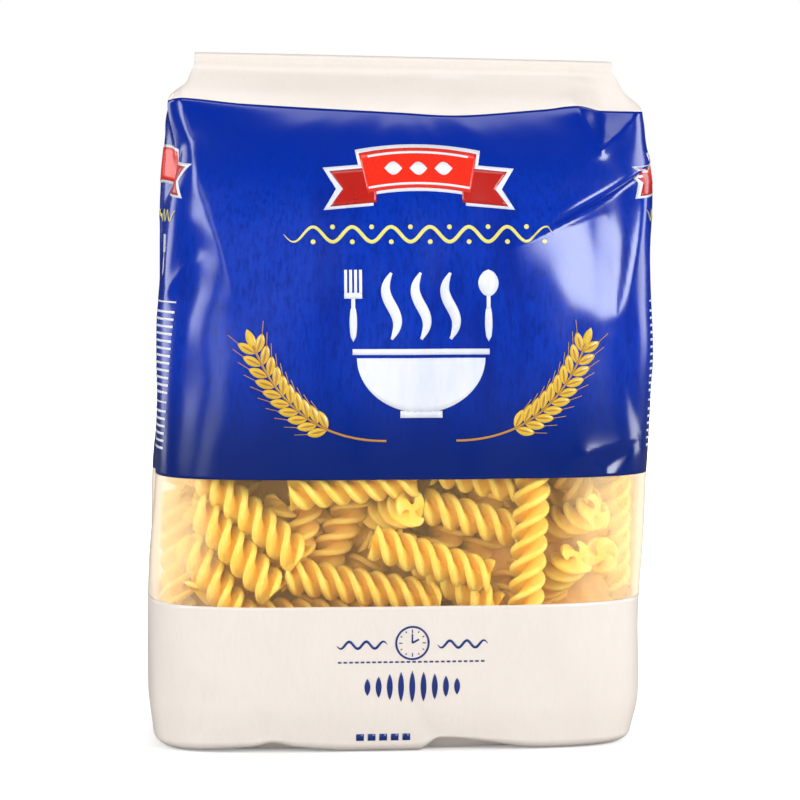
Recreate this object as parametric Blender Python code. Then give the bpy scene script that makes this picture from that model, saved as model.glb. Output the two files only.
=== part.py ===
"""Stand-up film packet of spiral pasta with a clear band round it, its top folded over to the back.

The film bag is one loft: rounded-rectangle sections climb from a flat base, close to a flat
top, and follow a tight bend over and down the back to the crimped end of the flap. In the
clear band the bag is cut back to a neck, and the heap that shows through the band fills that
space out to the film: a core with the spirals that touch the film joined on. Units are
metres, +Z is up and the front faces -Y.
"""

import math
import random

import bmesh
import bpy
from mathutils import Matrix, Vector

MM = 0.001

# The film body. Each station of the loft has: height, half width, half depth, squareness of the
# section (2 is an ellipse), depth of the gusset tuck in the sides, and sideways drift, in mm.
STATIONS = (
    (3.0, 62.4, 34.6, 5.0, 0.0, -1.8),
    (12.0, 63.6, 36.2, 4.4, 0.0, -1.8),
    (38.0, 64.6, 37.0, 3.9, 0.0, -1.4),
    (72.0, 65.0, 37.0, 3.6, 0.0, 0.0),
    (105.0, 65.0, 36.4, 3.4, 0.0, 1.3),
    (132.0, 64.6, 34.0, 3.3, 0.0, 1.6),
    (147.0, 64.2, 29.8, 3.2, 0.2, 1.5),
    (158.0, 63.2, 23.6, 3.2, 1.2, 1.2),
    (165.0, 62.6, 17.8, 3.8, 1.5, 1.0),
    (169.0, 63.6, 12.8, 5.0, 4.0, 1.0),
    (172.5, 61.8, 7.6, 7.0, 10.0, 1.0),
    (176.0, 59.0, 2.4, 9.0, 8.0, 1.0),
)
BASE_INSET = 4.6 * MM
BASE_LIFT = 0.5 * MM
ARCHES = ((-36.0, 2.4, 6.0), (8.5, 3.4, 9.0))  # lifts of the front hem: place, height, half span
TOP_SLOPE = -0.020  # the top edge drops to the right by this share of its width

# The folded top
FLAT_HALF_WIDTH = 57.4 * MM
FLAT_HALF_THICKNESS = 1.1 * MM
FLAT_SQUARENESS = 9.0
FLAT_TUCK = 4.0 * MM
FOLD_RADIUS = 1.9 * MM
FOLD_TURN = math.radians(128)
FLAP_HEIGHTS = (173.0, 169.0, 164.5, 160.0, 156.0)  # where the flap passes down the back, in mm
FLAP_STAND_OFF = 2.1 * MM
CRIMP_LENGTH = 9.0 * MM
CRIMP_RIB = 0.35 * MM

# The longitudinal seam that lies flat down the middle of the back
SEAM_SHARE = 0.115  # its half width, as a share of the back's
SEAM_EDGE = 0.012
SEAM_HEIGHT = 0.8 * MM

# The clear band and what shows in it
BAND_LOW = 36.4 * MM
BAND_HIGH = 68.6 * MM
NECK_INSET = 16.0 * MM
CORE_INSET = 6.6 * MM
GAP = 0.3 * MM
FILM_CLEARANCE = 0.4 * MM

# One pasta spiral: three blades that twist round a thin core
SPIRAL_RADIUS = 4.9 * MM
SPIRAL_PITCH = 14.0 * MM
HOLLOW_RADIUS = 2.3 * MM
SPIRAL_LENGTH = 38 * MM
STEPS_PER_TURN = 6
THINNING = 0.63  # the share of the joined skin's triangles that is kept
TOUCHING = 5.5 * MM  # depth of a spiral's axis behind the film that it touches

# The spirals that show at the front, in mm and degrees: place across the front, height,
# slope (up to the right), turn about its own axis, depth of its axis, length.
FRONT_SPIRALS = (
    (-44.8, 61.8, -41.6, 0, 5.4, 42),
    (-49.4, 52.0, -48.0, 50, 6.0, 42),
    (-11.5, 41.6, -9.7, 20, 5.2, 44),
    (4.6, 49.6, -17.3, 75, 6.4, 36),
    (-14.5, 66.0, -3.0, 10, 5.4, 42),
    (11.0, 59.6, -14.5, 40, 6.6, 38),
    (31.2, 56.0, 87.0, 0, 5.4, 45),
    (-22.0, 54.5, 56.0, 30, 6.2, 30),
    (-3.0, 55.5, -15.0, 10, 7.0, 34),
    (21.0, 67.0, -10.0, 30, 6.0, 28),
    (-33.0, 41.0, -62.0, 0, 6.6, 26),
    (46.5, 63.0, 28.0, 90, 6.0, 30),
    (45.0, 46.0, 78.0, 15, 5.6, 34),
    (20.5, 38.4, -24.0, 25, 5.6, 30),
    (-52.5, 39.5, -58.0, 80, 6.0, 30),
)
# The spirals on each other panel: how many, and the first slope and its change from one to the next
OTHER_PANELS = ((1, 5, 52, 9), (2, 11, 44, 8), (3, 5, -74, 9))

BAG_COLOUR = (0.012, 0.045, 0.36, 1.0)
PASTA_COLOUR = (0.78, 0.47, 0.11, 1.0)

PANEL_STEPS = (12, 8, 12, 8)  # faces along the front, right, back and left of a section
CROWDING = 1.2  # how much the faces crowd towards the corners, in radians of a sine


def clear_scene():
    for item in list(bpy.data.objects):
        bpy.data.objects.remove(item)


def new_collection(name):
    made = bpy.data.collections.new(name)
    bpy.context.scene.collection.children.link(made)
    return made


def material(name, colour, roughness):
    made = bpy.data.materials.new(name)
    made.use_nodes = True
    shader = made.node_tree.nodes["Principled BSDF"]
    shader.inputs["Base Color"].default_value = colour
    shader.inputs["Roughness"].default_value = roughness
    return made


def station_at(height):
    """Half width, half depth, squareness, tuck and drift at a height, eased between stations."""
    z = min(max(height / MM, STATIONS[0][0]), STATIONS[-1][0])
    last = len(STATIONS) - 1
    low = max(i for i in range(last) if STATIONS[i][0] <= z)
    before, here, after, beyond = (
        STATIONS[min(max(low + k, 0), last)] for k in (-1, 0, 1, 2)
    )
    span = after[0] - here[0]
    t = (z - here[0]) / span
    values = []
    for k in range(1, len(here)):
        start = (after[k] - before[k]) / (after[0] - before[0]) * span
        end = (beyond[k] - here[k]) / (beyond[0] - here[0]) * span
        values.append(
            (2 * t**3 - 3 * t**2 + 1) * here[k]
            + (t**3 - 2 * t**2 + t) * start
            + (3 * t**2 - 2 * t**3) * after[k]
            + (t**3 - t**2) * end
        )
    width, depth, square, tuck, drift = values
    return width * MM, depth * MM, square, tuck * MM, drift * MM


def section_point(panel, share, width, depth, square, tuck=0.0):
    """A point of a section. Panels 0 to 3 are front, right, back and left; share is -1 to 1 along one."""
    corner = 0.5 ** (1 / square)
    along = share * corner
    out = (1 - abs(along) ** square) ** (1 / square)
    if panel in (0, 2):
        side = 1 if panel == 0 else -1
        return Vector((side * along * width, -side * out * depth))
    side = 1 if panel == 1 else -1
    pulled = width * out - tuck * (1 - (share * share))
    return Vector((side * pulled, side * along * depth))


def panel_shares(panel):
    """Where a panel's points stand, from -1 up to 1, closer at the corners and at the seam's edges."""
    steps = PANEL_STEPS[panel]
    even = [2 * step / steps - 1 for step in range(steps)]
    shares = [math.sin(CROWDING * share) / math.sin(CROWDING) for share in even]
    if panel == 2:
        edges = [SEAM_SHARE, SEAM_SHARE + SEAM_EDGE]
        shares = [share for share in shares if abs(share) > 1.5 * SEAM_SHARE or share == 0]
        shares = sorted(shares + edges + [-share for share in edges])
    return shares


def section(width, depth, square, tuck=0.0, drift=0.0, inset=0.0, seam=0.0):
    """The corners of one section, round from the front left, pulled in by inset."""
    points = []
    for panel in range(4):
        for share in panel_shares(panel):
            x, y = section_point(
                panel, share, width - inset, depth - inset, square, tuck
            )
            if panel == 2 and abs(share) < SEAM_SHARE + SEAM_EDGE / 2:
                y += seam
            points.append(Vector((x + drift, y)))
    return points


def loft(name, rings, collection, finish, cyclic=False, split=False):
    """A closed solid through rings that all have the same number of points.

    split cuts each four-sided face along its shorter diagonal, which keeps a twisted skin from
    cutting in.
    """
    work = bmesh.new()
    rows = [[work.verts.new(point) for point in ring] for ring in rings]
    pairs = list(zip(rows, rows[1:]))
    if cyclic:
        pairs.append((rows[-1], rows[0]))
    count = len(rows[0])
    for lower, upper in pairs:
        for i in range(count):
            k = (i + 1) % count
            work.faces.new((lower[i], lower[k], upper[k], upper[i]))
    if not cyclic:
        work.faces.new(rows[0][::-1])
        work.faces.new(rows[-1])
    bmesh.ops.recalc_face_normals(work, faces=work.faces)
    if split:
        bmesh.ops.triangulate(work, faces=work.faces, quad_method="SHORT_EDGE")
    mesh = bpy.data.meshes.new(name)
    work.to_mesh(mesh)
    work.free()
    made = bpy.data.objects.new(name, mesh)
    collection.objects.link(made)
    made.data.materials.append(finish)
    return made


def hem_lift(x, y):
    """How far the front hem stands off the surface below it: two low arches."""
    if y > 0:
        return 0.0
    lift = 0.0
    for place, height, span in ARCHES:
        away = abs(x / MM - place) / span
        if away < 1:
            lift += height * MM * (1 - away) ** 2 * (1 + 2 * away)
    return lift


def level_ring(height, inset=0.0, lift=0.0):
    """A level ring of the body, with the seam on its back and its share of the top's slope."""
    width, depth, square, tuck, drift = station_at(height)
    slope = TOP_SLOPE * max(0.0, (height / MM - 140) / 36)
    seam = SEAM_HEIGHT if inset == 0 else 0.0
    ring = []
    for x, y in section(width, depth, square, tuck, drift, inset, seam):
        ring.append(Vector((x, y, height + slope * x + lift * hem_lift(x, y))))
    return ring


def base_rings():
    """The flat base and the rounded edge above it."""
    first = STATIONS[0][0] * MM
    width, depth, square, _, drift = station_at(first)
    rings = []
    for inset, height, lift in (
        (BASE_INSET, 0.0, 0.0),
        (0.28 * BASE_INSET, BASE_LIFT, 0.8),
    ):
        points = section(width, depth, square, 0, drift, inset)
        rings.append([Vector((x, y, height + lift * hem_lift(x, y))) for x, y in points])
    return rings


def fold_path():
    """The middle of the flat film, as (depth, height): over the top in a tight bend, then down the back."""
    start = Vector((0.0, (STATIONS[-1][0] + 1.6) * MM))
    centre = start + Vector((FOLD_RADIUS, 0.0))
    bends, ribs = 6, 8
    path = []
    for i in range(bends + 1):
        angle = FOLD_TURN * i / bends
        path.append(centre + FOLD_RADIUS * Vector((-math.cos(angle), math.sin(angle))))
    for z in FLAP_HEIGHTS:
        path.append(Vector((station_at(z * MM)[1] + FLAP_STAND_OFF, z * MM)))
    down = (path[-1] - path[-2]).normalized()
    crimp_start = len(path)
    path += [path[-1] + down * CRIMP_LENGTH * (i + 1) / ribs for i in range(ribs)]
    return path, crimp_start


def fold_rings():
    """Flat sections that follow the fold, each square to the path, with ribs across the crimped end."""
    drift = STATIONS[-1][5] * MM
    path, crimp_start = fold_path()
    rings = []
    for i, place in enumerate(path):
        ahead = path[min(i + 1, len(path) - 1)] - path[max(i - 1, 0)]
        along = ahead.normalized() if i else Vector((0.0, 1.0))
        crimped = i >= crimp_start
        rib = CRIMP_RIB * (1 if i % 2 else -1) if crimped else 0.0
        thickness = FLAT_HALF_THICKNESS * (0.75 if crimped else 1.0)
        ring = []
        for x, q in section(FLAT_HALF_WIDTH, thickness, FLAT_SQUARENESS, FLAT_TUCK, drift):
            y = place.x + (q + rib) * along.y
            z = place.y - (q + rib) * along.x
            ring.append(Vector((x, y, z + TOP_SLOPE * x)))
        rings.append(ring)
    return rings


def build_bag(collection):
    """The film bag: base, body with its neck at the clear band, and folded top, as one loft."""
    heights = [3, 7, 14, 25]
    rings = base_rings() + [level_ring(z * MM, lift=1.0 if z < 4 else 0.3 * (z < 8)) for z in heights]
    rings.append(level_ring(BAND_LOW))
    rings.append(level_ring(BAND_LOW, inset=NECK_INSET))
    rings.append(level_ring(BAND_HIGH, inset=NECK_INSET))
    rings.append(level_ring(BAND_HIGH))
    for z in (82, 96, 110, 122, 132, 140, 147, 153, 158, 162, 165, 167, 169, 171, 172.5, 174.5, 176):
        rings.append(level_ring(z * MM))
    rings += fold_rings()
    finish = material("printed film", BAG_COLOUR, 0.3)
    return loft("bag", rings, collection, finish)


def blade_section():
    """Six points of the three-bladed section, as (angle, radius): each blade's edge and the hollow after it."""
    points = []
    for blade in range(3):
        middle = blade * math.tau / 3
        points.append((middle, SPIRAL_RADIUS))
        points.append((middle + math.pi / 3, HOLLOW_RADIUS))
    return points


def spiral(name, place, axis, outward, turn, length, collection, finish):
    """One pasta spiral along axis, with its middle at place."""
    across = outward.cross(axis).normalized()
    frame = Matrix((across, outward, axis)).transposed()
    steps = max(4, round(length / SPIRAL_PITCH * STEPS_PER_TURN))
    rings = []
    for step in range(steps + 1):
        along = length * (step / steps - 0.5)
        twist = turn + math.tau * along / SPIRAL_PITCH
        rings.append(
            [
                place + frame @ Vector((r * math.cos(a + twist), r * math.sin(a + twist), along))
                for a, r in blade_section()
            ]
        )
    return loft(name, rings, collection, finish, split=True)


def spiral_on_film(name, panel, share, height, slope, turn, depth, length, collection, finish):
    """A spiral that lies behind a place on the film, along the film's surface there."""
    width, half_depth, square, _, drift = station_at(height)
    x, y = section_point(panel, share, width, half_depth, square)
    before = section_point(panel, share - 0.02, width, half_depth, square)
    after = section_point(panel, share + 0.02, width, half_depth, square)
    along = (after - before).normalized()
    outward = Vector((along.y, -along.x, 0.0))
    level = Vector((along.x, along.y, 0.0))
    axis = level * math.cos(slope) + Vector((0, 0, 1)) * math.sin(slope)
    place = Vector((x + drift, y, height)) - outward * depth
    return spiral(name, place, axis, outward, turn, length, collection, finish)


def band_ring(height, inset):
    width, depth, square, _, drift = station_at(height)
    return [Vector((x, y, height)) for x, y in section(width, depth, square, 0, drift, inset)]


def build_pasta(collection, helpers):
    """The heap in the clear band: a ring-shaped core with the spirals that show fused on."""
    finish = material("durum pasta", PASTA_COLOUR, 0.5)
    low, high = BAND_LOW + GAP, BAND_HIGH - GAP
    inner = NECK_INSET - GAP
    core_rings = [
        band_ring(low, CORE_INSET),
        band_ring(high, CORE_INSET),
        band_ring(high, inner),
        band_ring(low, inner),
    ]
    pasta = loft("pasta", core_rings, collection, finish, cyclic=True)

    for i, (x, z, slope, turn, depth, length) in enumerate(FRONT_SPIRALS):
        width, _, square, _, _ = station_at(z * MM)
        share = x * MM / (width * 0.5 ** (1 / square))
        spiral_on_film(
            f"front_spiral_{i}", 0, share, z * MM, math.radians(slope), math.radians(turn),
            depth * MM, length * MM, helpers, finish,
        )
    draw = random.Random(5)
    for panel, count, first, change in OTHER_PANELS:
        for i in range(count):
            share = 1.84 * (i + 0.5) / count - 0.92
            height = (BAND_LOW + BAND_HIGH) / 2 + draw.uniform(-3, 3) * MM
            slope = math.radians(first + change * (i % 5) + draw.uniform(-5, 5))
            spiral_on_film(
                f"spiral_{panel}_{i}", panel, share, height, slope, draw.uniform(0, 2),
                TOUCHING + draw.uniform(0, 1.2) * MM, SPIRAL_LENGTH, helpers, finish,
            )
    fuse(pasta, helpers)
    # The mould has the band's own shape: it trims the spirals to what shows, and keeps the neck free.
    mould_rings = [
        band_ring(low, FILM_CLEARANCE),
        band_ring(high, FILM_CLEARANCE),
        band_ring(high, inner),
        band_ring(low, inner),
    ]
    mould = loft("band_mould", mould_rings, helpers, finish, cyclic=True)
    trim(pasta, mould)
    keep_largest_body(pasta)
    thin_out(pasta)
    bpy.data.objects.remove(mould)
    return pasta


def apply(target, modifier):
    bpy.context.view_layer.update()
    bpy.context.view_layer.objects.active = target
    bpy.ops.object.modifier_apply(modifier=modifier.name)


def fuse(target, group):
    """Joins the target and the whole group into one skin."""
    modifier = target.modifiers.new("fuse", "BOOLEAN")
    modifier.operation = "UNION"
    modifier.operand_type = "COLLECTION"
    modifier.collection = group
    modifier.solver = "MANIFOLD"
    apply(target, modifier)
    for item in list(group.objects):
        bpy.data.objects.remove(item)


def trim(target, mould):
    modifier = target.modifiers.new("trim", "BOOLEAN")
    modifier.operation = "INTERSECT"
    modifier.object = mould
    modifier.solver = "MANIFOLD"
    apply(target, modifier)


def thin_out(target):
    """Drops the slivers where the pieces meet, by the shortest edges first."""
    modifier = target.modifiers.new("thin", "DECIMATE")
    modifier.ratio = THINNING
    apply(target, modifier)


def signed_volume(faces):
    """Six times the volume that flat faces enclose, negative for the wall of a sealed hollow."""
    total = 0.0
    for face in faces:
        first, *rest = (vertex.co for vertex in face.verts)
        for here, after in zip(rest, rest[1:]):
            total += first.dot(here.cross(after))
    return total


def keep_largest_body(target):
    """Drops loose scraps, and the walls of hollows that fusing sealed, which fills them."""
    work = bmesh.new()
    work.from_mesh(target.data)
    unseen = set(work.faces)
    bodies = []
    while unseen:
        body, front = set(), [unseen.pop()]
        while front:
            face = front.pop()
            body.add(face)
            for edge in face.edges:
                for other in edge.link_faces:
                    if other in unseen:
                        unseen.remove(other)
                        front.append(other)
        bodies.append(body)
    kept = max(bodies, key=signed_volume)
    scraps = [face for body in bodies if body is not kept for face in body]
    bmesh.ops.delete(work, geom=scraps, context="FACES")
    work.to_mesh(target.data)
    work.free()


def centre_over_origin(pieces, widest):
    """Moves the pieces level, so that the box round the widest one stands centred on the origin."""
    places = [vertex.co for vertex in widest.data.vertices]
    low = Vector(min(place[k] for place in places) for k in range(3))
    high = Vector(max(place[k] for place in places) for k in range(3))
    middle = (low + high) / 2
    for piece in pieces:
        piece.data.transform(Matrix.Translation((-middle.x, -middle.y, 0.0)))


def main():
    clear_scene()
    packet = new_collection("pasta_packet")
    helpers = new_collection("spirals")
    bag = build_bag(packet)
    bag.data.shade_smooth()
    bag.data.set_sharp_from_angle(angle=math.radians(35))
    pasta = build_pasta(packet, helpers)
    bpy.data.collections.remove(helpers)
    centre_over_origin((bag, pasta), bag)


main()
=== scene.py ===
"""Looks of the pasta packet: printed and clear film, the spirals behind it, and the studio.

The film is one skin of rounded-rectangle sections, the same ones as the CAD body's, with the
dents and creases of a handled packet on top. Lengths are millimetres up to make_piece, which
turns them into metres.
"""

import math

import bpy
import numpy as np
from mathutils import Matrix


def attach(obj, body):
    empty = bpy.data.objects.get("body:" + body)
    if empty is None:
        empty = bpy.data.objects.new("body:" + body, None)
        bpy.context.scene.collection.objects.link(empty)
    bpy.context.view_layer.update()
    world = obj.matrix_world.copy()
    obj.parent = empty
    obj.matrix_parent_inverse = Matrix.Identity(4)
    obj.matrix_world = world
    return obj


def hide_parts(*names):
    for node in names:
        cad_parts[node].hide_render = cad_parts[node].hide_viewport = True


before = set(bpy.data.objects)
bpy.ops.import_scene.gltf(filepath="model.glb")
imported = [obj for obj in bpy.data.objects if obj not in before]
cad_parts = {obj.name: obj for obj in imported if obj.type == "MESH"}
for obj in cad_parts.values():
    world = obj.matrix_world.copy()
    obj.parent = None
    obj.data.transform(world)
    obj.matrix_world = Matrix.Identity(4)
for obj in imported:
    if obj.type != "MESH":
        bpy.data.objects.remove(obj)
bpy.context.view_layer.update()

MM = 0.001
FRONT, RIGHT, BACK, LEFT = range(4)

# The film body. Each station has: height, half width, half depth, squareness of the section
# (2 is an ellipse), depth of the gusset tuck in the sides, and sideways drift.
STATIONS = np.array((
    (3.0, 63.2, 34.6, 5.0, 0.0, -3.4),
    (12.0, 64.9, 36.2, 4.4, 0.0, -2.8),
    (38.0, 64.9, 37.0, 3.9, 0.0, -2.6),
    (72.0, 65.6, 37.0, 3.6, 0.0, -0.5),
    (105.0, 65.4, 36.4, 3.4, 0.0, 1.0),
    (132.0, 64.9, 34.0, 3.3, 0.0, 1.7),
    (147.0, 64.8, 29.8, 3.2, 0.2, 1.5),
    (158.0, 64.8, 23.6, 3.3, 1.2, 0.7),
    (165.0, 64.0, 17.8, 3.9, 1.5, 0.6),
    (169.0, 64.0, 12.8, 5.0, 4.0, 0.7),
    (172.5, 61.8, 7.6, 7.0, 10.0, 0.8),
    (176.0, 59.0, 2.4, 9.0, 8.0, 0.9),
))
CENTRE_SHIFT = (-0.18, -0.40)  # moves the body's middle over the origin, as in the CAD model
BASE_ROUND = 3.0
BASE_INSET = 4.6
TOP_SLOPE = -0.020  # fall of the top to the right, full SLOPE_REACH above SLOPE_START
SLOPE_START = 140
SLOPE_REACH = 36
PANEL_COLUMNS = (150, 50, 80, 50)
CROWDING = 1.2
FILM_THICKNESS = 0.12

# Heights of the print lines. The blue ends in a line that waves with the folded film.
BAND_LOW = 38.3
BAND_HIGH = 71.0
BLUE_TOP = np.array((
    (-70.0, 166.8), (-62.0, 167.4), (-56.5, 168.1), (-41.9, 166.8), (-2.2, 165.1),
    (13.3, 164.6), (35.4, 166.6), (43.6, 167.7), (51.0, 166.6), (70.0, 166.6),
))
BLUE_TOP_MEAN = 164.0
BLUE_TOP_BEHIND = 166.6

# Lifts of the front hem: place, height, reach to the left and to the right
HEM_ARCHES = ((-36.0, 1.3, 25.0, 20.0), (-36.0, 1.0, 6.0, 6.0), (7.0, 3.2, 5.0, 28.0))
HEM_FADE = 9.0  # height at which they have faded out

# The underside: heights of its layers, its closing strip and where its folded ends start
UNDER_HEIGHT = 0.55
STRIP_LAYER = 0.50
ENDS_LAYER = 0.25
STRIP_MIDDLE = -1.5
STRIP_EDGE = (9.6, 9.0)
ENDS_EDGE = (-0.4, 0.4)
ENDS_START = 26.0
ENDS_WIDENING = 1.05

# The folded top
FOLD_START = 177.6
FOLD_RADIUS = 1.9
FOLD_TURN = math.radians(128)
FLAP_HEIGHTS = (173.0, 169.0, 164.5, 160.0, 156.0)
FLAP_STAND_OFF = 2.1
FLAP_HALF_WIDTH = 57.4
FLAP_HALF_THICKNESS = 0.8
FLAP_SQUARENESS = 9.0
FLAP_TUCK = 4.0
FLAP_WAVE = 0.5
FLAP_WAVE_REACH = 15.0
FLAP_LOOSE = (176.0, 158.0)  # heights where the wave starts and is full
CRIMP_LENGTH = 9.0
CRIMP_PITCH = 1.25
CRIMP_RIB = 0.28
CRIMP_HALF_THICKNESS = 0.4
CRIMP_END = (-0.2, 1.2)  # how the seal's thickness closes, by the distance to its end
CRIMP_ROWS = 44

SEAM_MIDDLE = -0.5
SEAM_HALF_WIDTH = 6.5
SEAM_EDGE = 0.5
SEAM_HEIGHT = 0.7


def smooth_step(low, high, value):
    """3s^2 - 2s^3, where s is the share of the way from low to high, held to 0 and 1."""
    s = np.clip((value - low) / (high - low), 0.0, 1.0)
    return s * s * (3 - 2 * s)


def eased(table, at):
    """Cubic easing through a table's rows at the keys in its first column.

    With t the share of the way from one key to the next, a value is
    (2t^3 - 3t^2 + 1) here + (t^3 - 2t^2 + t) start + (3t^2 - 2t^3) after + (t^3 - t^2) end,
    where start and end are the centred slopes at both keys.
    """
    keys = table[:, 0]
    last = len(keys) - 1
    place = np.clip(np.asarray(at, float), keys[0], keys[-1])
    low = np.clip(np.searchsorted(keys, place, side="right") - 1, 0, last - 1)
    before, here, after, beyond = (table[np.clip(low + k, 0, last)] for k in (-1, 0, 1, 2))
    span = (after[..., 0] - here[..., 0])[..., None]
    t = (place[..., None] - here[..., :1]) / span
    start = (after - before) / (after[..., :1] - before[..., :1]) * span
    end = (beyond - here) / (beyond[..., :1] - here[..., :1]) * span
    value = (
        (2 * t**3 - 3 * t**2 + 1) * here
        + (t**3 - 2 * t**2 + t) * start
        + (3 * t**2 - 2 * t**3) * after
        + (t**3 - t**2) * end
    )
    return np.moveaxis(value[..., 1:], -1, 0)


# Creases: panel, start and end as (across, height), height of the crest (below 0 for a valley),
# width on the side left of its direction and on the right, how round its crest is
CREASES = (
    (FRONT, (-59.2, 171.0), (-55.5, 146.0), 2.0, 4.0, 7.0, 0.6),
    (FRONT, (-55.5, 147.0), (-47.0, 119.0), 1.2, 4.5, 8.0, 0.7),
    (FRONT, (43.2, 169.5), (48.8, 156.4), 1.5, 3.5, 1.8, 0.25),
    (FRONT, (49.0, 155.6), (61.5, 167.0), 1.7, 1.8, 4.0, 0.25),
    (FRONT, (49.5, 155.6), (36.0, 147.4), 0.35, 6.0, 6.0, 0.8),
    (FRONT, (25.0, 131.0), (51.5, 138.6), 0.35, 1.8, 1.8, 0.3),
    (FRONT, (34.0, 137.5), (62.0, 152.5), 1.4, 9.0, 1.5, 0.4),
    (FRONT, (53.0, 109.0), (61.3, 79.7), -0.7, 3.0, 3.5, 0.4),
    (FRONT, (44.0, 76.9), (60.0, 80.5), 0.6, 2.0, 4.0, 0.3),
    (FRONT, (44.2, 77.6), (51.0, 69.5), 0.5, 2.5, 3.0, 0.2),
    (FRONT, (-53.0, 175.4), (17.0, 174.6), -0.40, 1.2, 2.2, 0.4),
    (FRONT, (23.5, 180.0), (-2.0, 172.5), 0.35, 3.0, 3.0, 0.5),
    (FRONT, (23.5, 180.0), (56.0, 172.5), 0.45, 3.0, 3.0, 0.5),
    (FRONT, (-52.0, 4.0), (-49.0, 17.0), -0.5, 3.0, 3.0, 0.5),
    (FRONT, (-36.0, 3.0), (-34.0, 10.0), -0.5, 2.0, 2.0, 0.3),
    (FRONT, (8.5, 3.0), (3.0, 13.0), -0.6, 2.0, 3.0, 0.3),
    (LEFT, (-16.5, 157.5), (-4.0, 142.0), -0.9, 2.4, 3.0, 0.3),
    (LEFT, (-25.0, 127.0), (-14.0, 118.0), 0.7, 3.0, 3.0, 0.4),
    (LEFT, (6.0, 150.0), (-8.0, 100.0), 0.8, 6.0, 6.0, 0.8),
    (LEFT, (12.0, 92.0), (-6.0, 60.0), -0.6, 5.0, 5.0, 0.6),
    (RIGHT, (-4.0, 152.0), (8.0, 104.0), 0.9, 6.0, 6.0, 0.8),
    (RIGHT, (-16.0, 96.0), (6.0, 70.0), -0.7, 5.0, 5.0, 0.6),
    (RIGHT, (16.0, 140.0), (22.0, 112.0), -0.8, 4.0, 4.0, 0.5),
    (BACK, (44.0, 150.0), (26.0, 128.0), 0.9, 5.0, 5.0, 0.5),
    (BACK, (-50.0, 146.0), (-36.0, 118.0), 1.0, 5.0, 6.0, 0.6),
    (BACK, (-30.0, 96.0), (-46.0, 76.0), 0.7, 4.0, 5.0, 0.5),
    (BACK, (40.0, 104.0), (50.0, 82.0), -0.7, 4.0, 5.0, 0.5),
)

# Dimples: panel, middle as (across, height), reach across and up, depth
DIMPLES = (
    (FRONT, (52.5, 166.0), (5.5, 8.0), 3.0),
    (LEFT, (-10.0, 154.0), (9.0, 10.0), 2.8),
    (LEFT, (-21.0, 124.0), (7.0, 11.0), 1.8),
    (RIGHT, (-8.0, 122.0), (9.0, 16.0), 1.4),
    (BACK, (48.0, 152.0), (8.0, 10.0), 2.4),
    (BACK, (-46.0, 132.0), (10.0, 14.0), 2.0),
)

# Dents with flat faces: panel, corners as (across, height) in turn anticlockwise, the slope of
# the face that starts at each side, the first side from corner one to corner two, and how much
# the first face makes up for the packet's rounding beyond ROUNDING_START
FACETS = (
    (FRONT, ((24.0, 130.5), (51.5, 107.0), (64.5, 152.5)), (0.21, 0.95, 2.00), 0.022),
    (FRONT, ((43.8, 76.8), (51.0, 68.5), (60.5, 80.5)), (0.30, 0.5, 0.34), 0.0),
    (BACK, ((-56.0, 118.0), (-28.0, 132.0), (-40.0, 152.0)), (0.20, 0.16, 0.4), 0.0),
)
ROUNDING_START = 47.0
FACET_BLEND = 0.35
PANEL_EDGE = (0.05, 0.45)  # where a panel's relief starts and is full, by the film's normal
CREASE_ENDS = (-0.35, 0.3)  # where a crease starts and is full, in its lengths from its end
DIMPLE_POWER = 1.3

# Slow waves of the whole film: height, length across and up, and where each starts
WAVES = ((0.30, 43.0, 61.0, 0.4), (0.10, 23.0, 37.0, 2.1), (0.03, 13.0, 19.0, 4.4))
WAVE_RADIUS = 60
WAVE_TURN = 6.28  # radians in a wave's length
WAVES_FADE_LOW = (2.0, 30.0)
WAVES_FADE_HIGH = (160.0, 172.0)


def on_panel(panel, nx, ny):
    """How far a place belongs to a panel, from 0 to 1, by the way its outward normal points."""
    towards = {FRONT: -ny, RIGHT: nx, BACK: ny, LEFT: -nx}[panel]
    return smooth_step(*PANEL_EDGE, towards)


def crease(across, height, start, end, crest, wide_left, wide_right, roundness):
    """crest * exp(-(sqrt(d^2 + r^2) - r) / w) * taper.

    d is the distance from the line, w the width on that side of it and r its roundness. The
    taper falls off as a bell beyond the ends.
    """
    start, end = np.array(start), np.array(end)
    length = np.linalg.norm(end - start)
    direction = (end - start) / length
    dx, dz = across - start[0], height - start[1]
    along = dx * direction[0] + dz * direction[1]
    away = dz * direction[0] - dx * direction[1]
    wide = np.where(away > 0, wide_left, wide_right)
    beyond = np.maximum(np.maximum(-along, along - length), 0.0)
    taper = np.exp(-((beyond / (0.5 * (wide_left + wide_right))) ** 2))
    outside, inside = (share * length for share in CREASE_ENDS)
    taper = taper * smooth_step(outside, inside, np.minimum(along, length - along))
    distance = np.sqrt(away**2 + roundness**2) - roundness
    return crest * np.exp(-distance / wide) * taper


def facet_dent(across, height, corners, slopes, rounding):
    """-max(0, smallest of slope * distance inside each side): the flat faces of a dent.

    The smallest is a soft one, -k log(sum exp(-value / k)), which rounds the dent's edges.
    """
    corners = np.array(corners)
    faces = []
    for start, end, slope in zip(corners, np.roll(corners, -1, axis=0), slopes):
        side = (end - start) / np.linalg.norm(end - start)
        inside = (height - start[1]) * side[0] - (across - start[0]) * side[1]
        faces.append(slope * inside)
    faces[0] = faces[0] - rounding * np.maximum(0.0, across - ROUNDING_START) ** 2
    total = sum(np.exp(-np.clip(face / FACET_BLEND, -40, 40)) for face in faces)
    smallest = -FACET_BLEND * np.log(total)
    return -FACET_BLEND * np.log1p(np.exp(np.clip(smallest / FACET_BLEND, -40, 40)))


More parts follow.
